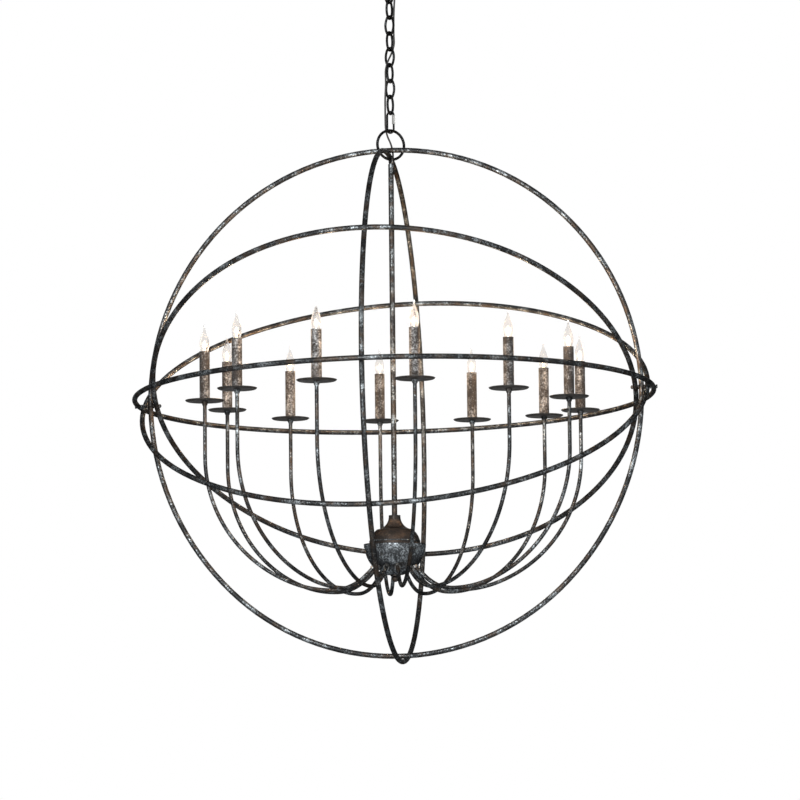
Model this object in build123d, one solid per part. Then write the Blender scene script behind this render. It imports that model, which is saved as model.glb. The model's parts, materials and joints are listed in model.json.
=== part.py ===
from build123d import *
import os
from math import atan2, degrees, pi, radians, sqrt, tan

# Orb chandelier, in millimetres. The origin is the middle of the ceiling face, +Z is up, +X is the
# viewer's right and +Y is away from the viewer. Everything hangs below the ceiling.

# ---- fits
PLAY = 0.3                  # between two pieces that hang or rest on each other
RUNNING = 0.05              # radial clearance of a turning or sliding fit
SEAT = 0.1                  # between a piece and the hole or face that it is fixed in

# ---- ceiling end
SCREW_SPACING = 88.9        # between the outlet box's screws
SCREW_R = 2.1               # the outlet box's own screws
BAR_LENGTH, BAR_WIDTH, BAR_WALL = 106.0, 22.0, 2.5
SLOT_LENGTH = 10.0
NIPPLE_R, NIPPLE_BORE_R = 4.9, 3.0
CANOPY_R, CANOPY_DEPTH, CANOPY_WALL = 63.5, 62.0, 1.5
CANOPY_FLOOR_R = 24.0
COLLAR_R, COLLAR_HEIGHT = 11.0, 9.0
NUT_R, NUT_HEIGHT = 8.0, 3.5
BUSHING_X, BUSHING_Y = 17.0, 5.0

# ---- chain
LINK_COUNT = 8
LINK_WIRE = 6.0
LINK_INNER_LENGTH = 40.3
LINK_INNER_WIDTH = 18.0
LINK_CROWN_R = 8.5          # middle line of a link's rounded ends
LOOP_WIRE = 6.0
LOOP_INNER_R = 9.3
LOOP_DROP = 119.3           # from the ceiling to the middle of the canopy loop's lower wire
CHAIN_YAW = -34.0           # plane of the even links and of the quick link

# ---- quick link and hang ring
QUICK_WIRE = 5.0
QUICK_INNER_LENGTH = 48.25
QUICK_INNER_WIDTH = 14.0
QUICK_GAP = 7.0
SLEEVE_LENGTH, SLEEVE_R = 22.0, 4.75
HANG_WIRE = 6.8
HANG_INNER_R = 33.1
HANG_YAW = 26.0

# ---- supply cord, from the canopy to the stem, as (x, y, z)
CORD_R = 2.25
CORD_POINTS = [
    (17.0, 5.0, -56.0), (17.0, 5.0, -86.0), (15.6, 4.2, -122.0), (12.2, 3.0, -162.0),
    (10.6, 2.2, -200.0), (10.2, 2.4, -236.0), (12.0, 2.4, -271.5), (-12.0, -2.4, -320.5),
    (-10.2, -1.6, -360.0), (-12.9, 1.0, -400.0), (-12.7, 1.2, -442.0), (-12.8, 1.3, -485.0),
    (4.4, 13.8, -520.0), (6.4, 14.4, -556.0), (1.2, 2.6, -586.0),
]
CORD_SHARP = 0.45           # share of the shorter run that an arc takes

# ---- stem and hub
EYE_WIRE, EYE_INNER_R = 4.0, 6.75
NECK_R, NECK_LENGTH = 6.75, 28.0
STEM_R, STEM_WALL = 6.75, 1.4
CANDLE_DROP = 1159.0        # from the ceiling to the level of the drip cups
HUB_NECK_DROP = 278.0       # these five are below the drip cups
HUB_RIM_DROP = 349.0
HUB_SHOULDER_DROP = 313.0
HUB_WAIST_DROP = 400.0
HUB_BOTTOM_DROP = 424.0
CAP_NECK_R, CAP_SHOULDER_R, CAP_FOOT_R = 14.5, 44.0, 63.0
RIM_R, RIM_HEIGHT = 76.0, 8.5
BOWL_WAIST_R, BOWL_BOTTOM_R = 57.5, 21.0
BOWL_BULGE = 3.5            # how far the bowl's side stands out of a straight line
HUB_WALL = 2.0
ROD_R = 3.9
PLATE_R, PLATE_THICKNESS = 60.0, 2.5
FINIAL_R = 8.0
CONNECTOR_LENGTH = 20.0

# ---- arms
ARM_COUNT = 12
ARM_START = 5.6             # azimuth of arm_12; the others follow in steps
ARM_R, ARM_WALL = 4.75, 1.2
ARM_REACH = 464.0           # from the stem to the candles
ARM_SIDE_DROP = 135.0       # the arm is straight down to here, below the drip cups
ARM_LOW_DROP = 461.0        # lowest point of the arm's middle line
ARM_LOW_REACH = 157.0
ARM_LOW_RADIUS = 263.0
ARM_HUB_RADIUS = 118.0
ARM_ENTRY_REACH = 41.0      # where the arm ends inside the bowl
ARM_COLLAR_R, ARM_COLLAR_LENGTH = 7.2, 7.0
WIRE_PLAY = 0.3             # round the pair of wires in an arm
# The arms are bent by hand: how far each drip cup stands above the mean level, and how many degrees
# each arm is turned past its even place, arm 1 first.
CUP_LIFTS = [6, 10, 9, 6, 9, 6, 7, 2, -8, -6, -9, -17]
ARM_TURNS = [0, -1.7, 0.7, -1.1, 1.5, -1.3, 0.7, -1.3, 0.6, -0.6, 0.6, 0]

# ---- lights
CUP_R, CUP_WALL, CUP_DISH = 48.3, 1.4, 4.0
CONE_TOP_R, CONE_BOTTOM_R, CONE_HEIGHT = 8.5, 5.9, 9.0
ARM_TOP = 8.0               # how far the arm reaches above the drip cup
SLEEVE_CANDLE_R, SLEEVE_CANDLE_WALL, SLEEVE_CANDLE_LENGTH = 12.7, 1.1, 120.0
SOCKET_R, SOCKET_HEIGHT = 10.4, 36.0
SOCKET_POST_R = 5.6
BASE_R, BASE_LENGTH = 5.9, 22.0
BULB_R, BULB_NECK_R, BULB_WALL = 12.0, 5.7, 0.8
BULB_SEAT = 9.0             # how far the glass starts below the sleeve's top
BULB_LENGTH = 75.0
FILAMENT_R = 0.35

# ---- hoops
HOOP_R = 6.35
HOOP_PITCH = 14.6           # between neighbouring hoops on a pivot bolt
FACING_SIDE = 608.3         # pivot to middle of the facing hoop, along the pivot axis
PIVOT_DROP = 1144.0         # from the ceiling to the pivot axis
CAGE_X, CAGE_Y = 2.5, 1.2   # middle of the pivot axis
CAGE_YAW = -6.93            # the pivot axis, with its right end nearer the viewer
CAGE_LEAN_LEFT = 0.9
CAGE_LEAN_BACK = 0.3
FACING_TOP, FACING_BOTTOM = 614.6, 638.5
CROSS_TOP = 9.6             # the side hoop runs this far below the facing hoop at the top
CROSS_BOTTOM = 12.9         # and at the bottom
SIDE_DEPTH = 622.0
HIGH_FRONT, HIGH_BACK, HIGH_TILT = 640.0, 656.0, -31.7
LOW_FRONT, LOW_BACK, LOW_TILT = 614.0, 592.0, 30.6
EQUATOR_FRONT, EQUATOR_BACK, EQUATOR_TILT = 646.0, 645.0, -1.4
BOLT_R, BOLT_HEAD_R, BOLT_HEAD_HEIGHT = 2.5, 4.6, 3.5
PIVOT_NUT_HEIGHT = 4.0
BOLT_END = 1.5
SPACER_R = 5.5

# ---- heights that follow
CUP_Z = -CANDLE_DROP
HUB_NECK_Z = CUP_Z - HUB_NECK_DROP
SHOULDER_Z = CUP_Z - HUB_SHOULDER_DROP
RIM_Z = CUP_Z - HUB_RIM_DROP
WAIST_Z = CUP_Z - HUB_WAIST_DROP
BOTTOM_Z = CUP_Z - HUB_BOTTOM_DROP
LOOP_Z = -LOOP_DROP


def below(wire_z, wire, inner_length, own_wire):
    """Middle of the lower wire of a ring that hangs on the wire at wire_z."""
    return wire_z + wire / 2 + PLAY - inner_length - own_wire / 2


LINK_LOW_Z = []             # lower wires, top link first
for number in range(LINK_COUNT):
    upper_z = LINK_LOW_Z[-1] if LINK_LOW_Z else LOOP_Z
    upper_wire = LINK_WIRE if LINK_LOW_Z else LOOP_WIRE
    LINK_LOW_Z.append(below(upper_z, upper_wire, LINK_INNER_LENGTH, LINK_WIRE))
CHAIN_END_Z = LINK_LOW_Z[-1]
QUICK_LOW_Z = below(CHAIN_END_Z, LINK_WIRE, QUICK_INNER_LENGTH, QUICK_WIRE)
HANG_LOW_Z = below(QUICK_LOW_Z, QUICK_WIRE, 2 * HANG_INNER_R, HANG_WIRE)
EYE_Z = below(HANG_LOW_Z, HANG_WIRE, 2 * EYE_INNER_R, EYE_WIRE) + EYE_INNER_R + EYE_WIRE / 2
NECK_TOP_Z = EYE_Z - EYE_INNER_R - EYE_WIRE / 2


def save(name, *solids):
    """Write the solids of one sub-part as one file."""
    parts = [solid for item in solids for solid in item.solids()]
    node = parts[0] if len(parts) == 1 else Compound(children=parts)
    export_step(node, f"parts/{name}.step")


def disc(radius, low, high, bore=0.0):
    """A round bar or washer on the Z axis between two heights."""
    align = (Align.CENTER, Align.CENTER, Align.MIN)
    body = Pos(0, 0, low) * Cylinder(radius, high - low, align=align)
    if bore:
        body -= Pos(0, 0, low) * Cylinder(bore, high - low, align=align)
    return body


def hexagon(radius, low, high, bore=0.0):
    """A six-sided nut or head on the Z axis between two heights."""
    body = Pos(0, 0, low) * extrude(RegularPolygon(radius, 6), high - low)
    if bore:
        body -= disc(bore, low, high)
    return body


def turned(*lines):
    """Revolve an outline drawn as (radius, height) about the Z axis."""
    outline = Plane.XZ * make_face(Wire(list(lines)))
    return revolve(outline, Axis.Z)


def wire_ring(radius, wire):
    """A closed round ring in the XZ plane."""
    return Rot(90, 0, 0) * Torus(radius, wire / 2)


def long_ring(inner_length, inner_width, wire, low_z):
    """A closed long link in the XZ plane, with the middle of its lower wire at low_z."""
    bend = (inner_width + wire) / 2
    top = low_z + inner_length + wire - bend
    low = low_z + bend
    path = Wire([
        Line((bend, low), (bend, top)),
        CenterArc((0, top), bend, 0, 180),
        Line((-bend, top), (-bend, low)),
        CenterArc((0, low), bend, 180, 180),
    ])
    section = Plane((bend, 0, low), x_dir=(1, 0, 0), z_dir=(0, 0, 1)) * Circle(wire / 2)
    return sweep(section, path=Plane.XZ * path)


def oval_link(inner_length, inner_width, wire, crown_r, low_z):
    """A closed oval link in the XZ plane: two tight ends joined by two gently bowed sides."""
    half_length, half_width = (inner_length + wire) / 2, (inner_width + wire) / 2
    rise = half_length - crown_r
    side_r = (half_width ** 2 + rise ** 2 - crown_r ** 2) / (2 * (half_width - crown_r))
    inset = side_r - half_width
    meet = degrees(atan2(rise, inset))
    middle = low_z + half_length
    path = Wire([
        CenterArc((-inset, middle), side_r, -meet, 2 * meet),
        CenterArc((0, middle + rise), crown_r, meet, 180 - 2 * meet),
        CenterArc((inset, middle), side_r, 180 - meet, 2 * meet),
        CenterArc((0, middle - rise), crown_r, 180 + meet, 180 - 2 * meet),
    ])
    section = Plane((half_width, 0, middle), x_dir=(1, 0, 0), z_dir=(0, 0, 1)) * Circle(wire / 2)
    return sweep(section, path=Plane.XZ * path)


# ---- ceiling end
def make_ceiling():
    bar = extrude(SlotOverall(BAR_LENGTH, BAR_WIDTH), -BAR_WALL)
    bar -= disc(NIPPLE_R + SEAT, -BAR_WALL, 0)
    for side in (-1, 1):
        slot = extrude(SlotCenterToCenter(SLOT_LENGTH, 2 * (SCREW_R + SEAT)), -BAR_WALL)
        bar -= Pos(side * SCREW_SPACING / 2, 0, 0) * slot
    save("ceiling_crossbar", bar)

    floor_z = -CANOPY_DEPTH
    collar_low = floor_z - COLLAR_HEIGHT
    save("canopy_nipple", disc(NIPPLE_R, collar_low, 0, NIPPLE_BORE_R))
    bore = NIPPLE_R + SEAT
    upper_nut = hexagon(NUT_R, -BAR_WALL - NUT_HEIGHT, -BAR_WALL, bore)
    lower_nut = hexagon(NUT_R, floor_z + CANOPY_WALL, floor_z + CANOPY_WALL + NUT_HEIGHT, bore)
    save("nipple_locknuts", upper_nut, lower_nut)

    canopy = turned(
        Line((CANOPY_FLOOR_R, floor_z), (0, floor_z)),
        Line((0, floor_z), (0, floor_z + CANOPY_WALL)),
        Line((0, floor_z + CANOPY_WALL), (CANOPY_FLOOR_R, floor_z + CANOPY_WALL)),
        EllipticalCenterArc((CANOPY_FLOOR_R, 0), CANOPY_R - CANOPY_WALL - CANOPY_FLOOR_R,
                            CANOPY_DEPTH - CANOPY_WALL, -90, arc_size=90),
        Line((CANOPY_R - CANOPY_WALL, 0), (CANOPY_R, 0)),
        EllipticalCenterArc((CANOPY_FLOOR_R, 0), CANOPY_R - CANOPY_FLOOR_R, CANOPY_DEPTH, -90, arc_size=90),
    )
    canopy -= disc(bore, floor_z, floor_z + CANOPY_WALL)
    bushing_place = Pos(BUSHING_X, BUSHING_Y, 0)
    bushing_r = CORD_R + 1.5
    canopy -= bushing_place * disc(bushing_r + SEAT, floor_z, floor_z + CANOPY_WALL)
    save("canopy", canopy)
    cord_hole = CORD_R + SEAT
    sleeve = disc(bushing_r, floor_z, floor_z + CANOPY_WALL + 2, cord_hole)
    flange = disc(bushing_r + 1.2, floor_z - 2, floor_z, cord_hole)
    save("cord_bushing", bushing_place * (sleeve + flange))

    save("canopy_collar", disc(COLLAR_R, collar_low, floor_z, bore))
    ring_z = LOOP_Z + LOOP_INNER_R + LOOP_WIRE / 2
    ring = Pos(0, 0, ring_z) * wire_ring(LOOP_INNER_R + LOOP_WIRE / 2, LOOP_WIRE)
    neck = disc(COLLAR_R - 3, ring_z + LOOP_INNER_R + 1, collar_low)
    save("canopy_loop", Rot(0, 0, CHAIN_YAW + 90) * (ring + neck))


# ---- chain, quick link, hang ring
def make_chain():
    for index, low_z in enumerate(LINK_LOW_Z):
        number = LINK_COUNT - index
        yaw = CHAIN_YAW + (90 if number % 2 else 0)
        link = oval_link(LINK_INNER_LENGTH, LINK_INNER_WIDTH, LINK_WIRE, LINK_CROWN_R, low_z)
        save(f"chain_link_{number:02d}", Rot(0, 0, yaw) * link)


def make_quick_link():
    bend = (QUICK_INNER_WIDTH + QUICK_WIRE) / 2
    top_z = QUICK_LOW_Z + QUICK_INNER_LENGTH + QUICK_WIRE - bend
    link = long_ring(QUICK_INNER_LENGTH, QUICK_INNER_WIDTH, QUICK_WIRE, QUICK_LOW_Z)
    sleeve_top = top_z - PLAY
    gap_top = sleeve_top - 3
    link -= Pos(bend, 0, 0) * disc(QUICK_WIRE, gap_top - QUICK_GAP, gap_top)
    save("quick_link", Rot(0, 0, CHAIN_YAW) * link)
    sleeve = hexagon(SLEEVE_R, sleeve_top - SLEEVE_LENGTH, sleeve_top, QUICK_WIRE / 2 + RUNNING)
    save("quick_link_sleeve", Rot(0, 0, CHAIN_YAW) * Pos(bend, 0, 0) * sleeve)


def make_hang_ring():
    radius = HANG_INNER_R + HANG_WIRE / 2
    save("hang_ring", Rot(0, 0, HANG_YAW) * Pos(0, 0, HANG_LOW_Z + radius) * wire_ring(radius, HANG_WIRE))


def cord_path():
    """The cord's middle line: straight runs joined by tangent arcs."""
    points = [Vector(*point) for point in CORD_POINTS]
    runs = [after - before for before, after in zip(points, points[1:])]
    radii = []
    for before, after in zip(runs, runs[1:]):
        half_turn = radians(before.get_angle(after)) / 2
        radii.append(CORD_SHARP * min(before.length, after.length) / tan(half_turn))
    print("cord radii", [round(radius) for radius in radii])
    return FilletPolyline(*points, radius=radii)


def cord_tube(path, radius):
    start = Plane(path @ 0, z_dir=path % 0)
    return sweep(start * Circle(radius), path=path)


# ---- stem and hub
def make_stem(cord):
    eye = Pos(0, 0, EYE_Z) * wire_ring(EYE_INNER_R + EYE_WIRE / 2, EYE_WIRE)
    neck_low = NECK_TOP_Z - NECK_LENGTH
    neck = disc(NECK_R, neck_low, NECK_TOP_Z)
    loop = Rot(0, 0, HANG_YAW + 90) * eye + neck
    loop -= cord_tube(cord, CORD_R + SEAT)
    save("stem_loop", loop)
    tube = disc(STEM_R, RIM_Z, neck_low, STEM_R - STEM_WALL)
    save("stem_tube", tube)


def make_hub():
    bore = STEM_R + SEAT
    flare_mid = (CAP_NECK_R + 0.25 * (CAP_SHOULDER_R - CAP_NECK_R), (HUB_NECK_Z + 2 * SHOULDER_Z) / 3)
    foot_mid = (CAP_FOOT_R - 4.5, SHOULDER_Z + 0.5 * (RIM_Z - SHOULDER_Z))
    cap = turned(
        Line((bore, HUB_NECK_Z), (CAP_NECK_R, HUB_NECK_Z)),
        ThreePointArc((CAP_NECK_R, HUB_NECK_Z), flare_mid, (CAP_SHOULDER_R, SHOULDER_Z)),
        ThreePointArc((CAP_SHOULDER_R, SHOULDER_Z), foot_mid, (CAP_FOOT_R, RIM_Z)),
        Line((CAP_FOOT_R, RIM_Z), (CAP_FOOT_R - 2 * HUB_WALL, RIM_Z)),
        ThreePointArc((CAP_FOOT_R - 2 * HUB_WALL, RIM_Z),
                      (foot_mid[0] - 2 * HUB_WALL, foot_mid[1] - HUB_WALL),
                      (CAP_SHOULDER_R - HUB_WALL, SHOULDER_Z - 2 * HUB_WALL)),
        Line((CAP_SHOULDER_R - HUB_WALL, SHOULDER_Z - 2 * HUB_WALL), (bore, SHOULDER_Z - 2 * HUB_WALL)),
        Line((bore, SHOULDER_Z - 2 * HUB_WALL), (bore, HUB_NECK_Z)),
    )
    save("hub_cap", cap)

    rim_low = RIM_Z - RIM_HEIGHT
    side_mid = ((RIM_R - 2 + BOWL_WAIST_R) / 2 + BOWL_BULGE, (rim_low + WAIST_Z) / 2 - 1)
    inner_mid = (side_mid[0] - HUB_WALL, side_mid[1] + HUB_WALL)
    rod_bore = ROD_R + SEAT
    inside_r = RIM_R - 2 - HUB_WALL
    bowl = turned(
        Line((inside_r, RIM_Z - PLATE_THICKNESS), (PLATE_R + SEAT, RIM_Z - PLATE_THICKNESS)),
        Line((PLATE_R + SEAT, RIM_Z - PLATE_THICKNESS), (PLATE_R + SEAT, RIM_Z)),
        Line((PLATE_R + SEAT, RIM_Z), (RIM_R, RIM_Z)),
        Line((RIM_R, RIM_Z), (RIM_R, rim_low)),
        Line((RIM_R, rim_low), (RIM_R - 2, rim_low)),
        ThreePointArc((RIM_R - 2, rim_low), side_mid, (BOWL_WAIST_R, WAIST_Z)),
        Line((BOWL_WAIST_R, WAIST_Z), (BOWL_BOTTOM_R, BOTTOM_Z)),
        Line((BOWL_BOTTOM_R, BOTTOM_Z), (rod_bore, BOTTOM_Z)),
        Line((rod_bore, BOTTOM_Z), (rod_bore, BOTTOM_Z + HUB_WALL)),
        Line((rod_bore, BOTTOM_Z + HUB_WALL), (BOWL_BOTTOM_R, BOTTOM_Z + HUB_WALL)),
        Line((BOWL_BOTTOM_R, BOTTOM_Z + HUB_WALL), (BOWL_WAIST_R - HUB_WALL, WAIST_Z + HUB_WALL)),
        ThreePointArc((BOWL_WAIST_R - HUB_WALL, WAIST_Z + HUB_WALL), inner_mid, (inside_r, rim_low)),
        Line((inside_r, rim_low), (inside_r, RIM_Z - PLATE_THICKNESS)),
    )
    arm_hole = arm_end(ARM_R + SEAT)
    for azimuth in arm_azimuths():
        bowl -= Rot(0, 0, azimuth) * arm_hole
    save("hub_bowl", bowl)

    plate_low = RIM_Z - PLATE_THICKNESS
    save("hub_plate", disc(PLATE_R, plate_low, RIM_Z, rod_bore))
    save("hub_rod", disc(ROD_R, BOTTOM_Z - 6, RIM_Z + 30))
    upper = hexagon(NUT_R, plate_low - NUT_HEIGHT, plate_low, rod_bore)
    lower = hexagon(NUT_R, BOTTOM_Z + HUB_WALL, BOTTOM_Z + HUB_WALL + NUT_HEIGHT, rod_bore)
    save("hub_locknuts", upper, lower)
    washer = disc(FINIAL_R + 4, BOTTOM_Z - 3, BOTTOM_Z)
    ball = Pos(0, 0, BOTTOM_Z - 3 - 0.85 * FINIAL_R) * Sphere(FINIAL_R)
    finial = washer + ball - disc(rod_bore, BOTTOM_Z - 6.2, BOTTOM_Z)
    save("hub_finial", finial)
    connector_low = plate_low - CONNECTOR_LENGTH - PLAY
    cone_align = (Align.CENTER, Align.CENTER, Align.MIN)
    connector = Pos(0, 0, connector_low) * Cone(5.5, 3.5, CONNECTOR_LENGTH, align=cone_align)
    save("hub_wire_nuts", *[Rot(0, 0, turn) * Pos(24, 0, 0) * connector for turn in (20, 140, 260)])


# ---- arms
def arm_azimuths():
    """Azimuths of arm 1 onwards, which go from the left end to and fro to the right end."""
    order = [6, 5, 7, 4, 8, 3, 9, 2, 10, 1, 11, 0]
    step = 360 / ARM_COUNT
    return [ARM_START + step * place + turn for place, turn in zip(order, ARM_TURNS)]


def arm_outline(lift):
    """The arm's middle line in the XZ plane, from the candle down and in to the hub."""
    reach, side_z = ARM_REACH, CUP_Z - ARM_SIDE_DROP
    low = Vector(ARM_LOW_REACH, CUP_Z - ARM_LOW_DROP)
    across, down = reach - low.X, side_z - low.Y
    side_radius = (across ** 2 + down ** 2 - 2 * down * ARM_LOW_RADIUS) / (2 * (across - ARM_LOW_RADIUS))
    side_centre = Vector(reach - side_radius, side_z)
    low_centre = low + Vector(0, ARM_LOW_RADIUS)
    hub_centre = low + Vector(0, ARM_HUB_RADIUS)
    gap = low_centre - side_centre
    meet = degrees(atan2(gap.Y, gap.X))
    hub_end = hub_centre + ARM_HUB_RADIUS * Vector(-sqrt(0.5), -sqrt(0.5))
    run_in = hub_end.X - ARM_ENTRY_REACH
    inside = hub_end + Vector(-run_in, run_in)
    top = Vector(reach, CUP_Z + lift + ARM_TOP)
    return [
        Line(top, (reach, side_z)),
        CenterArc(side_centre, side_radius, 0, meet),
        CenterArc(low_centre, ARM_LOW_RADIUS, meet, -90 - meet),
        CenterArc(hub_centre, ARM_HUB_RADIUS, -90, -45),
        Line(hub_end, inside),
    ]


def arm_tube(lift, radius, bore=0.0):
    path = Plane.XZ * Wire(arm_outline(lift))
    top = Plane((ARM_REACH, 0, CUP_Z + lift + ARM_TOP), x_dir=(1, 0, 0), z_dir=(0, 0, -1))
    section = top * Circle(radius)
    if bore:
        section -= top * Circle(bore)
    return sweep(section, path=path)


def arm_end(radius):
    """A straight bar along the arm's last run, for its hole in the bowl."""
    line = arm_outline(0)[-1]
    path = Plane.XZ * line
    return sweep(Plane(path @ 0, z_dir=path % 0) * Circle(radius), path=path)


def make_arms():
    collars, wires = [], []
    slope = Plane.XZ * arm_outline(0)[-1]
    bowl_side = (BOWL_WAIST_R - BOWL_BOTTOM_R) / (WAIST_Z - BOTTOM_Z)
    start = slope @ 0
    # where the arm's middle line meets the bowl's sloping underside
    meet_x = (start.Z - BOTTOM_Z + BOWL_BOTTOM_R / bowl_side + start.X) / (1 + 1 / bowl_side)
    meet = Vector(meet_x, 0, start.Z + start.X - meet_x)
    collar_end = meet - ARM_COLLAR_LENGTH * (slope % 0)
    collar_path = Line(collar_end, meet + 3 * (slope % 0))
    collar_face = Plane(collar_end, z_dir=slope % 0)
    collar = sweep(collar_face * (Circle(ARM_COLLAR_R) - Circle(ARM_R + SEAT)), path=collar_path)
    collar -= disc(BOWL_WAIST_R + 40, WAIST_Z, WAIST_Z + 60)
    collar -= turned(
        Line((0, BOTTOM_Z), (BOWL_BOTTOM_R, BOTTOM_Z)),
        Line((BOWL_BOTTOM_R, BOTTOM_Z), (BOWL_WAIST_R, WAIST_Z)),
        Line((BOWL_WAIST_R, WAIST_Z), (0, WAIST_Z)),
        Line((0, WAIST_Z), (0, BOTTOM_Z)),
    )
    for number, (azimuth, lift) in enumerate(zip(arm_azimuths(), CUP_LIFTS), 1):
        turn = Rot(0, 0, azimuth)
        save(f"arm_{number:02d}", turn * arm_tube(lift, ARM_R, ARM_R - ARM_WALL))
        collars.append(turn * collar)
        wires.append(turn * arm_tube(lift, ARM_R - ARM_WALL - WIRE_PLAY))
    save("arm_collars", *collars)
    save("arm_wires", *wires)


# ---- lights, each drawn with the drip cup's rim level at z = 0
def drip_cup():
    edge = CUP_R - 7
    bore = ARM_R + SEAT
    return turned(
        Line((bore, -CUP_DISH), (edge, -CUP_DISH)),
        ThreePointArc((edge, -CUP_DISH), (edge + 4.5, -0.72 * CUP_DISH), (CUP_R, 0)),
        Line((CUP_R, 0), (CUP_R - CUP_WALL, CUP_WALL / 2)),
        ThreePointArc((CUP_R - CUP_WALL, CUP_WALL / 2), (edge + 3.2, CUP_WALL - 0.72 * CUP_DISH),
                      (edge - 1, CUP_WALL - CUP_DISH)),
        Line((edge - 1, CUP_WALL - CUP_DISH), (bore, CUP_WALL - CUP_DISH)),
        Line((bore, CUP_WALL - CUP_DISH), (bore, -CUP_DISH)),
    )


def bulb_outline(wall):
    """Half outline of the flame-shaped glass, from its neck to its tip, drawn inward by wall."""
    low = SLEEVE_CANDLE_LENGTH - BULB_SEAT
    neck = BULB_NECK_R - wall
    widest = BULB_R - wall
    widest_z = low + 0.36 * BULB_LENGTH
    tip_z = low + BULB_LENGTH - 1.5 * wall
    return [
        Line((0, low), (neck, low)),
        Spline((neck, low), (widest, widest_z), (0.55 * widest, low + 0.68 * BULB_LENGTH),
               (0.18 * widest, low + 0.9 * BULB_LENGTH), (0, tip_z),
               tangents=((0.35, 1), (-1, 0.6))),
        Line((0, tip_z), (0, low)),
    ]


def bulb():
    outer = turned(*bulb_outline(0))
    inner = turned(*bulb_outline(BULB_WALL))
    return outer - inner


def filament():
    """The bulb's glowing wire: a tall hoop on two leads."""
    low = SLEEVE_CANDLE_LENGTH - BULB_SEAT
    points = [(-2.2, 0, low), (-2.2, 0, low + 17), (-4.2, 0, low + 25), (0, 0, low + 38), (4.2, 0, low + 25),
              (2.2, 0, low + 17), (2.2, 0, low)]
    path = FilletPolyline(*points, radius=1.5)
    return sweep(Plane(path @ 0, z_dir=path % 0) * Circle(FILAMENT_R), path=path)


def candle_socket():
    floor = CUP_WALL - CUP_DISH
    glass_low = SLEEVE_CANDLE_LENGTH - BULB_SEAT
    body_low = glass_low - SOCKET_HEIGHT
    foot = disc(SLEEVE_CANDLE_R - SLEEVE_CANDLE_WALL - SEAT, floor, floor + 3, ARM_R + SEAT)
    post = disc(SOCKET_POST_R + 1.5, floor + 3, body_low, SOCKET_POST_R)
    body = disc(SOCKET_R, body_low, glass_low - 1, BASE_R + SEAT)
    floor_disc = disc(SOCKET_R, body_low - 2, body_low, 2.0)
    return foot + post + floor_disc + body


def make_lights():
    floor = CUP_WALL - CUP_DISH
    glass_low = SLEEVE_CANDLE_LENGTH - BULB_SEAT
    cone_align = (Align.CENTER, Align.CENTER, Align.MIN)
    cone_low = -CUP_DISH - CONE_HEIGHT
    cone = Pos(0, 0, cone_low) * Cone(CONE_BOTTOM_R, CONE_TOP_R, CONE_HEIGHT, align=cone_align)
    cone -= disc(ARM_R + SEAT, cone_low, -CUP_DISH)
    sleeve_bore = SLEEVE_CANDLE_R - SLEEVE_CANDLE_WALL
    pieces = {
        "cup_cones": cone,
        "drip_cups": drip_cup(),
        "candle_sockets": candle_socket(),
        "candle_sleeves": disc(SLEEVE_CANDLE_R, floor, SLEEVE_CANDLE_LENGTH, sleeve_bore),
        "bulb_bases": disc(BASE_R, glass_low - BASE_LENGTH, glass_low),
        "bulbs": bulb(),
        "bulb_filaments": filament(),
    }
    places = [Rot(0, 0, azimuth) * Pos(ARM_REACH, 0, CUP_Z + lift)
              for azimuth, lift in zip(arm_azimuths(), CUP_LIFTS)]
    for name, piece in pieces.items():
        save(name, *[place * piece for place in places])


# ---- hoops, drawn with the pivot axis along X
CAGE = Pos(CAGE_X, CAGE_Y, -PIVOT_DROP) * Rot(0, 0, CAGE_YAW) * Rot(-CAGE_LEAN_BACK, -CAGE_LEAN_LEFT, 0)


def oval(side, plus, minus):
    """An oval of six tangent arcs: side along X, plus along +Y and minus along -Y."""
    arcs = []
    for reach, turn in ((plus, 1), (minus, -1)):
        spread = (side - reach) / (sqrt(2) - 1)
        end_r = side - spread / sqrt(2)
        crown_r = end_r + spread
        arcs.append(CenterArc((side - end_r, 0), end_r, 0, 45 * turn))
        arcs.append(CenterArc((0, turn * (reach - crown_r)), crown_r, 45 * turn, 90 * turn))
        arcs.append(CenterArc((end_r - side, 0), end_r, 135 * turn, 45 * turn))
    return Wire(arcs)


def hoop(side, plus, minus, bar_r=HOOP_R):
    section = Plane((side, 0, 0), x_dir=(1, 0, 0), z_dir=(0, 1, 0)) * Circle(bar_r)
    return sweep(section, path=oval(side, plus, minus))


def drilled(body, side):
    for end in (-1, 1):
        body -= Pos(end * side, 0, 0) * Rot(0, 90, 0) * Cylinder(BOLT_R + RUNNING, 3 * HOOP_R)
    return body


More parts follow.
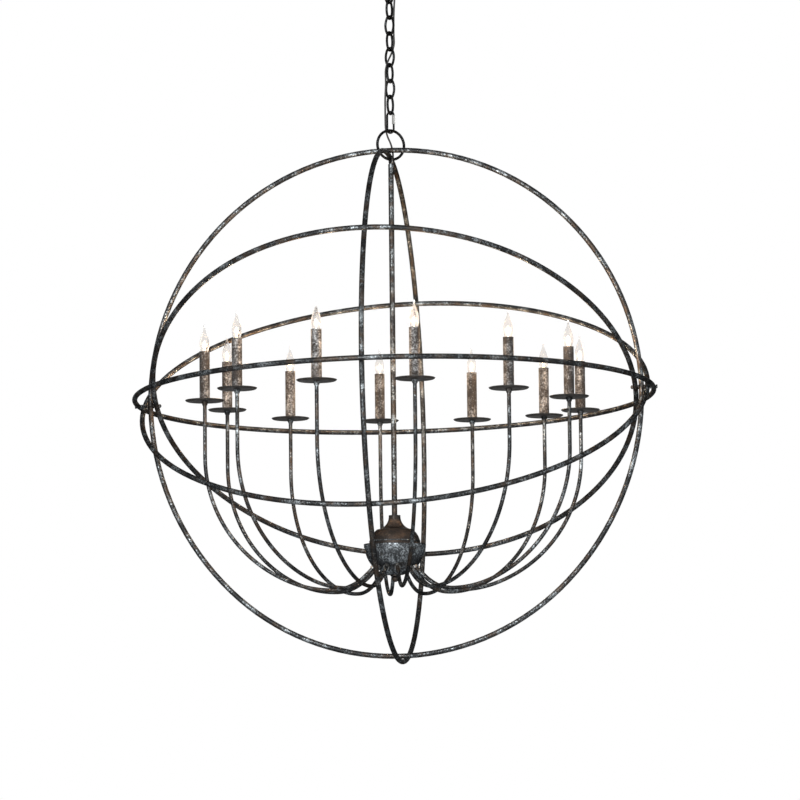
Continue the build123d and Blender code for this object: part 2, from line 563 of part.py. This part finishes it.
def make_cage():
    inner, low_side, level_side = (FACING_SIDE + step * HOOP_PITCH for step in (-1, 1, 2))
    save("ring_facing", CAGE * Rot(90, 0, 0) * drilled(hoop(FACING_SIDE, FACING_TOP, FACING_BOTTOM), FACING_SIDE))
    high = drilled(hoop(inner, HIGH_BACK, HIGH_FRONT), inner)
    save("ring_high_front", CAGE * Rot(HIGH_TILT, 0, 0) * high)
    low = drilled(hoop(low_side, LOW_BACK, LOW_FRONT), low_side)
    save("ring_low_front", CAGE * Rot(LOW_TILT, 0, 0) * low)
    level = drilled(hoop(level_side, EQUATOR_BACK, EQUATOR_FRONT), level_side)
    save("ring_equator", CAGE * Rot(EQUATOR_TILT, 0, 0) * level)

    side_top = FACING_TOP - CROSS_TOP
    side_bottom = FACING_BOTTOM + CROSS_BOTTOM
    half_height = (side_top + side_bottom) / 2
    across = Plane((0, 0, side_top - half_height), x_dir=(0, 1, 0), z_dir=(1, 0, 0))
    side_hoop = across.location * hoop(SIDE_DEPTH, half_height, half_height)
    side_hoop -= Rot(90, 0, 0) * hoop(FACING_SIDE, FACING_TOP, FACING_BOTTOM, HOOP_R + SEAT)
    save("ring_side", CAGE * side_hoop)

    bolts, spacers, nuts = [], [], []
    inner_face = inner - HOOP_R - SEAT
    outer_face = level_side + HOOP_R + SEAT
    spacer_half = HOOP_PITCH / 2 - HOOP_R - SEAT
    for turn in (0, 180):
        end = CAGE * Rot(0, 0, turn) * Rot(0, 90, 0)
        shank = disc(BOLT_R, inner_face - PIVOT_NUT_HEIGHT - BOLT_END, outer_face)
        bolts.append(end * (shank + hexagon(BOLT_HEAD_R, outer_face, outer_face + BOLT_HEAD_HEIGHT)))
        nuts.append(end * hexagon(BOLT_HEAD_R, inner_face - PIVOT_NUT_HEIGHT, inner_face, BOLT_R + RUNNING))
        for step in (-0.5, 0.5, 1.5):
            middle = FACING_SIDE + step * HOOP_PITCH
            spacers.append(end * disc(SPACER_R, middle - spacer_half, middle + spacer_half, BOLT_R + RUNNING))
    save("pivot_bolts", *bolts)
    save("pivot_spacers", *spacers)
    save("pivot_nuts", *nuts)


def main():
    os.makedirs("parts", exist_ok=True)
    cord = cord_path()
    tube = cord_tube(cord, CORD_R)
    print("cord length", round(cord.length), "volume share", round(tube.volume / (pi * CORD_R ** 2 * cord.length), 4))
    save("supply_cord", tube)
    make_ceiling()
    make_chain()
    make_quick_link()
    make_hang_ring()
    make_stem(cord)
    make_hub()
    make_arms()
    make_lights()
    make_cage()


main()
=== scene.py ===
import json
import math

import bpy
from mathutils import Matrix, Vector


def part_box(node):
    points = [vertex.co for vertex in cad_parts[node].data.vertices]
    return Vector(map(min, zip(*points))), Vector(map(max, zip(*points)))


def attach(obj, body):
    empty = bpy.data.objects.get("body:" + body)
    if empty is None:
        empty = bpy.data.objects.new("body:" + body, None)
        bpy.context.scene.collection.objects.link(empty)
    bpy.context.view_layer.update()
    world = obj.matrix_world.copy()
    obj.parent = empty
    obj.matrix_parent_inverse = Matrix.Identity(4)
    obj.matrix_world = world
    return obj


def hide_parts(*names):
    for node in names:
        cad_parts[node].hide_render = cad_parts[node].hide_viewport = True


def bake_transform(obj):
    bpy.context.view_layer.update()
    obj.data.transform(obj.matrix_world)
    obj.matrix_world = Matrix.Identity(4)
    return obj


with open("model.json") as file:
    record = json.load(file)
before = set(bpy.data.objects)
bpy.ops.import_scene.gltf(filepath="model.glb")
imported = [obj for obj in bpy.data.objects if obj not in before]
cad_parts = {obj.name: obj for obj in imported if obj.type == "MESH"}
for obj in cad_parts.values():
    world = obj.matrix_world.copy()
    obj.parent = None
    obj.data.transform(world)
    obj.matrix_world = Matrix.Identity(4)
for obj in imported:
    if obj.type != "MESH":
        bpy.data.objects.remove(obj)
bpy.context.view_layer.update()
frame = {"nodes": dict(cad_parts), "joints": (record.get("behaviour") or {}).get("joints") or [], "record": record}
NODES = frame["nodes"]

# ---- the photograph's view, in metres and degrees
CANDLE_Z = -1.159                       # level of the drip cups, which the view is centred on
VIEW_DISTANCE = 10.302
VIEW_RISE = 6.37                        # the camera looks up by this much
VIEW_ROLL = 0.6
FOCAL_PIXELS = 4188.85
IMAGE_PIXELS = 800
AIM_X, AIM_Y = 393.4, 402.7             # where the middle of the cups' level lies in the photograph
SENSOR_MM = 36.0

# ---- light, in watts and metres
FLOOR_Z = -2.75
FLOOR_SIZE = 30
FLOOR_TONE = (0.86, 0.86, 0.86, 1)
SKY_TONE, SKY_STRENGTH = (0.95, 0.97, 1, 1), 0.36     # soft light from all round
STUDIO_LAMPS = [                                      # name, place, size, power
    ("key", (-1.2, -4.6, -0.7), 2.4, 260),
    ("fill", (3.6, -3.6, -0.8), 2.0, 60),
    ("rim", (0.5, 4.5, 1.2), 2.0, 60),
]
WARM_LIGHT = (1.0, 0.67, 0.40)
BULB_POWER, BULB_SOFT_SIZE = 2.6, 0.0045
BULB_COUNT = 12
FIRST_BULB_TURN = 5.6                   # degrees from the x axis to the first bulb


def deselect():
    if bpy.context.object and bpy.context.object.mode != "OBJECT":
        bpy.ops.object.mode_set(mode="OBJECT")
    bpy.ops.object.select_all(action="DESELECT")


def make_camera():
    """The camera stands low in front of the ball and looks slightly up."""
    rise, roll = math.radians(VIEW_RISE), math.radians(VIEW_ROLL)
    forward = Vector((0, math.cos(rise), math.sin(rise)))
    right = Vector((1, 0, 0))
    up = right.cross(forward)
    turned_right = math.cos(roll) * right - math.sin(roll) * up
    turned_up = math.sin(roll) * right + math.cos(roll) * up
    place = Vector((0, 0, CANDLE_Z)) - VIEW_DISTANCE * forward
    data = bpy.data.cameras.new("view")
    data.sensor_width = SENSOR_MM
    data.lens = FOCAL_PIXELS / IMAGE_PIXELS * SENSOR_MM
    data.shift_x = (IMAGE_PIXELS / 2 - AIM_X) / IMAGE_PIXELS
    data.shift_y = (AIM_Y - IMAGE_PIXELS / 2) / IMAGE_PIXELS
    data.clip_end = 100
    camera = bpy.data.objects.new("view", data)
    bpy.context.scene.collection.objects.link(camera)
    axes = Matrix((turned_right, turned_up, -forward)).transposed().to_4x4()
    camera.matrix_world = Matrix.Translation(place) @ axes
    bpy.context.scene.camera = camera


# ---- shader helpers
def new_material(name):
    """A material with its node tree and its shader."""
    material = bpy.data.materials.new(name)
    material.use_nodes = True
    tree = material.node_tree
    return material, tree, tree.nodes["Principled BSDF"]


def add(tree, kind, **settings):
    node = tree.nodes.new(kind)
    for key, value in settings.items():
        setattr(node, key, value)
    return node


def noise(tree, vector, scale, detail=4.0, roughness=0.6, distortion=0.0):
    node = add(tree, "ShaderNodeTexNoise")
    tree.links.new(vector, node.inputs["Vector"])
    if isinstance(scale, (int, float)):
        node.inputs["Scale"].default_value = scale
    else:
        tree.links.new(scale, node.inputs["Scale"])
    node.inputs["Detail"].default_value = detail
    node.inputs["Roughness"].default_value = roughness
    node.inputs["Distortion"].default_value = distortion
    return node.outputs["Fac"]


def ramp(tree, value, low, high):
    """0 below low, 1 above high."""
    node = add(tree, "ShaderNodeMapRange", interpolation_type="SMOOTHSTEP")
    tree.links.new(value, node.inputs["Value"])
    for name, limit in (("From Min", low), ("From Max", high)):
        if isinstance(limit, (int, float)):
            node.inputs[name].default_value = limit
        else:
            tree.links.new(limit, node.inputs[name])
    return node.outputs["Result"]


def math_node(tree, operation, first, second):
    """One step of arithmetic on two numbers or sockets."""
    node = add(tree, "ShaderNodeMath", operation=operation)
    for slot, value in enumerate((first, second)):
        if isinstance(value, (int, float)):
            node.inputs[slot].default_value = value
        else:
            tree.links.new(value, node.inputs[slot])
    return node.outputs[0]


def mix_colour(tree, factor, first, second):
    """The first colour where the factor is 0, the second where it is 1."""
    node = add(tree, "ShaderNodeMix", data_type="RGBA")
    tree.links.new(factor, node.inputs["Factor"])
    for name, value in (("A", first), ("B", second)):
        socket = [s for s in node.inputs if s.name == name and s.type == "RGBA"][0]
        if isinstance(value, tuple):
            socket.default_value = (*value, 1)
        else:
            tree.links.new(value, socket)
    return [s for s in node.outputs if s.type == "RGBA"][0]


def patina_group():
    """Beaten iron, silvered and rubbed back: masks of silver, brown and wax, and the beaten height."""
    group = bpy.data.node_groups.new("rubbed_silver", "ShaderNodeTree")
    face = group.interface
    face.new_socket("Vector", in_out="INPUT", socket_type="NodeSocketVector")
    for name, value in (("Fleck Scale", 260.0), ("Silver", 0.5), ("Brown", 0.5)):
        socket = face.new_socket(name, in_out="INPUT", socket_type="NodeSocketFloat")
        socket.default_value = value
    for name in ("Silver Mask", "Brown Mask", "Wax Mask", "Roughness", "Height"):
        face.new_socket(name, in_out="OUTPUT", socket_type="NodeSocketFloat")
    given = group.nodes.new("NodeGroupInput")
    out = group.nodes.new("NodeGroupOutput")
    vector, scale = given.outputs["Vector"], given.outputs["Fleck Scale"]

    flecks = noise(group, vector, scale, 4.0, 0.62, 0.35)
    patches = noise(group, vector, math_node(group, "MULTIPLY", scale, 0.12), 3.0, 0.6)
    both = math_node(group, "ADD", math_node(group, "MULTIPLY", flecks, 0.55),
                     math_node(group, "MULTIPLY", patches, 0.45))
    edge = math_node(group, "SUBTRACT", 0.60, math_node(group, "MULTIPLY", given.outputs["Silver"], 0.26))
    silver = ramp(group, both, edge, math_node(group, "ADD", edge, 0.24))
    group.links.new(silver, out.inputs["Silver Mask"])

    stains = noise(group, vector, math_node(group, "MULTIPLY", scale, 0.09), 5.0, 0.7, 0.3)
    brown_reach = math_node(group, "MULTIPLY", given.outputs["Brown"], 0.34)
    brown_edge = math_node(group, "SUBTRACT", 0.66, brown_reach)
    brown = ramp(group, stains, brown_edge, math_node(group, "ADD", brown_edge, 0.16))
    group.links.new(brown, out.inputs["Brown Mask"])

    pits = noise(group, vector, math_node(group, "MULTIPLY", scale, 1.7), 3.0, 0.6)
    wax = math_node(group, "MULTIPLY", ramp(group, pits, 0.50, 0.66), 0.6)
    group.links.new(wax, out.inputs["Wax Mask"])
    dull = math_node(group, "SUBTRACT", 0.50, math_node(group, "MULTIPLY", silver, 0.20))
    group.links.new(dull, out.inputs["Roughness"])
    height = math_node(group, "ADD", math_node(group, "MULTIPLY", silver, 0.4),
                       math_node(group, "MULTIPLY", flecks, 0.8))
    group.links.new(height, out.inputs["Height"])
    return group


PATINA = patina_group()


def patina_iron(name, dark, silver, brown, silver_share, brown_share, fleck=260.0, bump=0.5, edge=0.03,
                metal=0.94, dulled=0.0):
    """Dark iron under rubbed silver, stained brown in patches, with black wax in its pits; its dark edge tint is
    painted shade on the rims of its reflections.
    """
    material, tree, shader = new_material(name)
    place = add(tree, "ShaderNodeTexCoord").outputs["Object"]
    group = add(tree, "ShaderNodeGroup", node_tree=PATINA)
    tree.links.new(place, group.inputs["Vector"])
    group.inputs["Fleck Scale"].default_value = fleck
    group.inputs["Silver"].default_value = silver_share
    group.inputs["Brown"].default_value = brown_share
    leafed = mix_colour(tree, group.outputs["Silver Mask"], dark, silver)
    stained = mix_colour(tree, math_node(tree, "MULTIPLY", group.outputs["Brown Mask"], 0.75), leafed, brown)
    wax = tuple(0.4 * part for part in dark)
    tree.links.new(mix_colour(tree, group.outputs["Wax Mask"], stained, wax), shader.inputs["Base Color"])
    shader.inputs["Metallic"].default_value = metal
    # painted shade: the dark edge tint darkens the metal's reflection at grazing rims, as dark surroundings would
    shader.inputs["Specular Tint"].default_value = (edge, edge, edge, 1)
    tree.links.new(math_node(tree, "ADD", group.outputs["Roughness"], dulled), shader.inputs["Roughness"])
    relief = add(tree, "ShaderNodeBump")
    relief.inputs["Strength"].default_value = bump
    relief.inputs["Distance"].default_value = 0.0004
    tree.links.new(group.outputs["Height"], relief.inputs["Height"])
    tree.links.new(relief.outputs["Normal"], shader.inputs["Normal"])
    return material


def plain(name, colour, roughness, metallic=0.0, grain=600.0, depth=0.00015):
    """A plain finish with fine grain in its tone, gloss and surface."""
    material, tree, shader = new_material(name)
    place = add(tree, "ShaderNodeTexCoord").outputs["Object"]
    speckle = noise(tree, place, grain, 3.0)
    darker = tuple(0.72 * part for part in colour)
    tree.links.new(mix_colour(tree, speckle, darker, colour), shader.inputs["Base Color"])
    spread = math_node(tree, "ADD", math_node(tree, "MULTIPLY", speckle, 0.2), roughness - 0.1)
    tree.links.new(spread, shader.inputs["Roughness"])
    shader.inputs["Metallic"].default_value = metallic
    relief = add(tree, "ShaderNodeBump")
    relief.inputs["Distance"].default_value = depth
    tree.links.new(speckle, relief.inputs["Height"])
    tree.links.new(relief.outputs["Normal"], shader.inputs["Normal"])
    return material


def bulb_glass():
    """Thin blown glass, greyed as painted shade, that lets the light of its own bulb through."""
    material, tree, shader = new_material("blown_bulb_glass")
    place = add(tree, "ShaderNodeTexCoord").outputs["Object"]
    haze = math_node(tree, "ADD", math_node(tree, "MULTIPLY", noise(tree, place, 90.0, 2.0), 0.06), 0.07)
    tree.links.new(haze, shader.inputs["Roughness"])
    # painted shade: the grey in this glass colour darkens the bulbs against the white behind them
    shader.inputs["Base Color"].default_value = (0.88, 0.865, 0.85, 1)
    shader.inputs["IOR"].default_value = 1.28
    shader.inputs["Transmission Weight"].default_value = 1.0
    clear = add(tree, "ShaderNodeBsdfTransparent")
    path = add(tree, "ShaderNodeLightPath")
    blend = add(tree, "ShaderNodeMixShader")
    tree.links.new(path.outputs["Is Shadow Ray"], blend.inputs["Fac"])
    tree.links.new(shader.outputs["BSDF"], blend.inputs[1])
    tree.links.new(clear.outputs["BSDF"], blend.inputs[2])
    out = [node for node in tree.nodes if node.type == "OUTPUT_MATERIAL"][0]
    tree.links.new(blend.outputs["Shader"], out.inputs["Surface"])
    return material


def glowing(name, colour, strength):
    """A hot wire."""
    material, tree, shader = new_material(name)
    shader.inputs["Base Color"].default_value = (*colour, 1)
    shader.inputs["Emission Color"].default_value = (*colour, 1)
    shader.inputs["Emission Strength"].default_value = strength
    return material


DARK = (0.021, 0.022, 0.023)
SILVER = (0.33, 0.365, 0.385)
BROWN = (0.056, 0.042, 0.032)
MATERIALS = {
    "iron_patina": patina_iron("rubbed_iron", DARK, SILVER, BROWN, 0.50, 0.54),
    "rusty_iron": patina_iron("rusty_iron", (0.026, 0.024, 0.023), (0.11, 0.098, 0.088),
                              (0.058, 0.044, 0.036), 0.40, 0.55, 220.0, 0.5, 0.15),
    "sleeve_patina": patina_iron("sleeve_iron", (0.042, 0.037, 0.034), (0.34, 0.34, 0.34),
                                 (0.095, 0.075, 0.062), 0.56, 0.40, 240.0, 0.4, 0.2, 0.5, 0.22),
    "worn_silver": plain("worn_silver", (0.26, 0.26, 0.255), 0.4, 1.0, 900.0),
    "zinc_steel": plain("zinc_steel", (0.34, 0.34, 0.33), 0.36, 1.0, 700.0),
    "black_plastic": plain("black_plastic", (0.03, 0.03, 0.032), 0.5),
    "cord_jacket": plain("cord_jacket", (0.008, 0.0075, 0.007), 0.6, 0.0, 900.0, 0.0003),
    "wire_jacket": plain("wire_jacket", (0.8, 0.8, 0.77), 0.45),
    "bulb_brass": plain("bulb_brass", (0.75, 0.58, 0.32), 0.3, 1.0),
    "bulb_glass": bulb_glass(),
    "filament": glowing("hot_filament", (1.0, 0.80, 0.56), 6.0),
}
CHAIN_IRON = patina_iron("chain_iron", (0.008, 0.008, 0.008), (0.13, 0.145, 0.155), (0.02, 0.016, 0.013),
                         0.36, 0.3, 400.0)
BOWL_IRON = patina_iron("bowl_iron", (0.035, 0.038, 0.041), (0.44, 0.49, 0.525), (0.035, 0.03, 0.026),
                        0.52, 0.35, 260.0)
CUP_IRON = patina_iron("cup_iron", (0.05, 0.047, 0.044), (0.12, 0.12, 0.118), (0.065, 0.052, 0.044),
                       0.50, 0.45, 300.0, 0.3, 0.5)


def finish_nodes():
    """Each CAD piece takes the material of its slot, with its own finish where it has one."""
    slots = {entry["node"]: entry["material_slot"] for entry in frame["record"]["subparts"]}
    own = {name: CHAIN_IRON for name in NODES if name.startswith("chain_link")}
    own.update(canopy_loop=CHAIN_IRON, hang_ring=CHAIN_IRON, quick_link=CHAIN_IRON, hub_bowl=BOWL_IRON,
               drip_cups=CUP_IRON)
    for name, piece in NODES.items():
        material = own.get(name, MATERIALS[slots[name]])
        piece.data.materials.clear()
        piece.data.materials.append(material)
        for polygon in piece.data.polygons:
            polygon.material_index = 0


# ---- the supply cord, cut where each link's middle passes it
CORD_R = 0.00225
BELOW_ALL = -1.0                        # a level under the cord's lower end
CORD_POINTS = [                         # mm
    (17.0, 5.0, -56.0), (17.0, 5.0, -86.0), (15.6, 4.2, -122.0), (12.2, 3.0, -162.0),
    (10.6, 2.2, -200.0), (10.2, 2.4, -236.0), (12.0, 2.4, -271.5), (-12.0, -2.4, -320.5),
    (-10.2, -1.6, -360.0), (-12.9, 1.0, -400.0), (-12.7, 1.2, -442.0), (-12.8, 1.3, -485.0),
    (4.4, 13.8, -520.0), (6.4, 14.4, -556.0), (1.2, 2.6, -586.0),
]


def cord_tube():
    """The whole cord as one smooth round tube."""
    curve = bpy.data.curves.new("cord_line", "CURVE")
    curve.dimensions = "3D"
    line = curve.splines.new("NURBS")
    line.points.add(len(CORD_POINTS) - 1)
    for point, place in zip(line.points, CORD_POINTS):
        point.co = (*(0.001 * part for part in place), 1)
    line.order_u = 3
    line.use_endpoint_u = True
    line.resolution_u = 14
    curve.bevel_depth = CORD_R
    curve.bevel_resolution = 4
    curve.use_fill_caps = True
    holder = bpy.data.objects.new("cord_line", curve)
    bpy.context.scene.collection.objects.link(holder)
    bpy.context.view_layer.update()
    mesh = bpy.data.meshes.new_from_object(holder.evaluated_get(bpy.context.evaluated_depsgraph_get()))
    bpy.data.objects.remove(holder)
    return mesh


def make_cord():
    """One length of cord for each joint it passes, from the middle of one body to the next."""
    tube = cord_tube()
    hinges = [joint for joint in frame["joints"] if "supply_cord" in str(joint.get("deforming_nodes"))]
    hinges = [joint for joint in hinges if joint["child"] != "cage"]
    heights = [joint["pos_m"][2] for joint in hinges]
    cuts = [(above + below) / 2 for above, below in zip(heights, heights[1:])]
    tops = [0.0] + cuts
    lows = cuts + [BELOW_ALL]
    for joint, top, low in zip(hinges, tops, lows):
        piece = bpy.data.objects.new(f"cord_past_{joint['child']}", tube.copy())
        bpy.context.scene.collection.objects.link(piece)
        deselect()
        piece.select_set(True)
        bpy.context.view_layer.objects.active = piece
        bpy.ops.object.mode_set(mode="EDIT")
        for height, side in ((top, "outer"), (low, "inner")):
            bpy.ops.mesh.select_all(action="SELECT")
            bpy.ops.mesh.bisect(plane_co=(0, 0, height), plane_no=(0, 0, 1), use_fill=False,
                                clear_outer=side == "outer", clear_inner=side == "inner")
        bpy.ops.object.mode_set(mode="OBJECT")
        bpy.ops.object.shade_smooth()
        piece.data.materials.clear()
        piece.data.materials.append(MATERIALS["cord_jacket"])
        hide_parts("supply_cord")
        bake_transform(piece)


# ---- turned beads of the hub
BEADS = [                               # name, radius, wire radius, height over the rim, slot, material
    ("cap_bead", 0.0612, 0.0019, 0.0070, "iron_patina", BOWL_IRON),
    ("rim_bead", 0.0752, 0.0014, -0.0010, "rusty_iron", MATERIALS["rusty_iron"]),
]


def make_beads():
    """A bright bead above the cap's foot and a brown lip on the bowl's rim."""
    rim_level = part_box("hub_cap")[0][2]
    for name, radius, wire, lift, slot, material in BEADS:
        deselect()
        bpy.ops.mesh.primitive_torus_add(location=(0, 0, rim_level + lift), major_radius=radius,
                                         minor_radius=wire, major_segments=96, minor_segments=12)
        bead = bpy.context.object
        bead.name = name
        bpy.ops.object.transform_apply(location=True, rotation=True, scale=True)
        bpy.ops.object.shade_smooth()
        bead.data.materials.append(material)
        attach(bead, "stem")


# ---- stage and light
def backdrop_material():
    """A plain pale surface, which takes the lamps' light and the ball's shadow."""
    material, tree, shader = new_material("pale_backdrop")
    shader.inputs["Base Color"].default_value = FLOOR_TONE
    shader.inputs["Roughness"].default_value = 0.9
    return material


def make_stage():
    """The studio floor, well below the ball."""
    deselect()
    bpy.ops.mesh.primitive_plane_add(size=FLOOR_SIZE, location=(0, 4, FLOOR_Z))
    floor = bpy.context.object
    floor.name = "studio_floor"
    floor.data.materials.append(backdrop_material())


def make_world():
    """White as the camera, metal and glass see it, and a soft even light otherwise."""
    world = bpy.data.worlds.new("studio")
    bpy.context.scene.world = world
    world.use_nodes = True
    tree = world.node_tree
    tree.nodes.clear()
    path = add(tree, "ShaderNodeLightPath")
    seen = math_node(tree, "MAXIMUM", path.outputs["Is Camera Ray"], path.outputs["Is Transmission Ray"])
    seen = math_node(tree, "MAXIMUM", seen, path.outputs["Is Glossy Ray"])
    white = add(tree, "ShaderNodeBackground")
    white.inputs["Color"].default_value = (1, 1, 1, 1)
    white.inputs["Strength"].default_value = 1.0
    soft = add(tree, "ShaderNodeBackground")
    soft.inputs["Color"].default_value = SKY_TONE
    soft.inputs["Strength"].default_value = SKY_STRENGTH
    blend = add(tree, "ShaderNodeMixShader")
    tree.links.new(seen, blend.inputs["Fac"])
    tree.links.new(soft.outputs["Background"], blend.inputs[1])
    tree.links.new(white.outputs["Background"], blend.inputs[2])
    out = add(tree, "ShaderNodeOutputWorld")
    tree.links.new(blend.outputs["Shader"], out.inputs["Surface"])


def area_light(name, place, size, power):
    """A square lamp turned towards the ball."""
    data = bpy.data.lights.new(name, "AREA")
    data.size = size
    data.energy = power
    light = bpy.data.objects.new(name, data)
    bpy.context.scene.collection.objects.link(light)
    light.location = place
    toward = Vector((0, 0, CANDLE_Z)) - Vector(place)
    light.rotation_euler = toward.to_track_quat("-Z", "Y").to_euler()


def make_lights():
    """Three plain studio lamps, and a small warm one in each bulb that moves with the stem."""
    for name, place, size, power in STUDIO_LAMPS:
        area_light(name, place, size, power)
    for bulb, place in enumerate(bulb_places()):
        data = bpy.data.lights.new(f"bulb_glow_{bulb + 1}", "POINT")
        data.energy = BULB_POWER
        data.color = WARM_LIGHT
        data.shadow_soft_size = BULB_SOFT_SIZE
        light = bpy.data.objects.new(data.name, data)
        bpy.context.scene.collection.objects.link(light)
        light.location = place
        light.visible_transmission = False
        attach(light, "stem")


def bulb_places():
    """The middle of each bulb, read from the points of its filament."""
    groups = {}
    for vertex in NODES["bulb_filaments"].data.vertices:
        azimuth = math.degrees(math.atan2(vertex.co.y, vertex.co.x))
        number = round((azimuth - FIRST_BULB_TURN) / (360 / BULB_COUNT)) % BULB_COUNT
        groups.setdefault(number, []).append(vertex.co)
    return [sum(groups[number], Vector()) / len(groups[number]) for number in sorted(groups)]


make_camera()
bpy.context.scene.view_settings.view_transform = "Standard"
finish_nodes()
make_cord()
make_beads()
make_stage()
make_world()
make_lights()
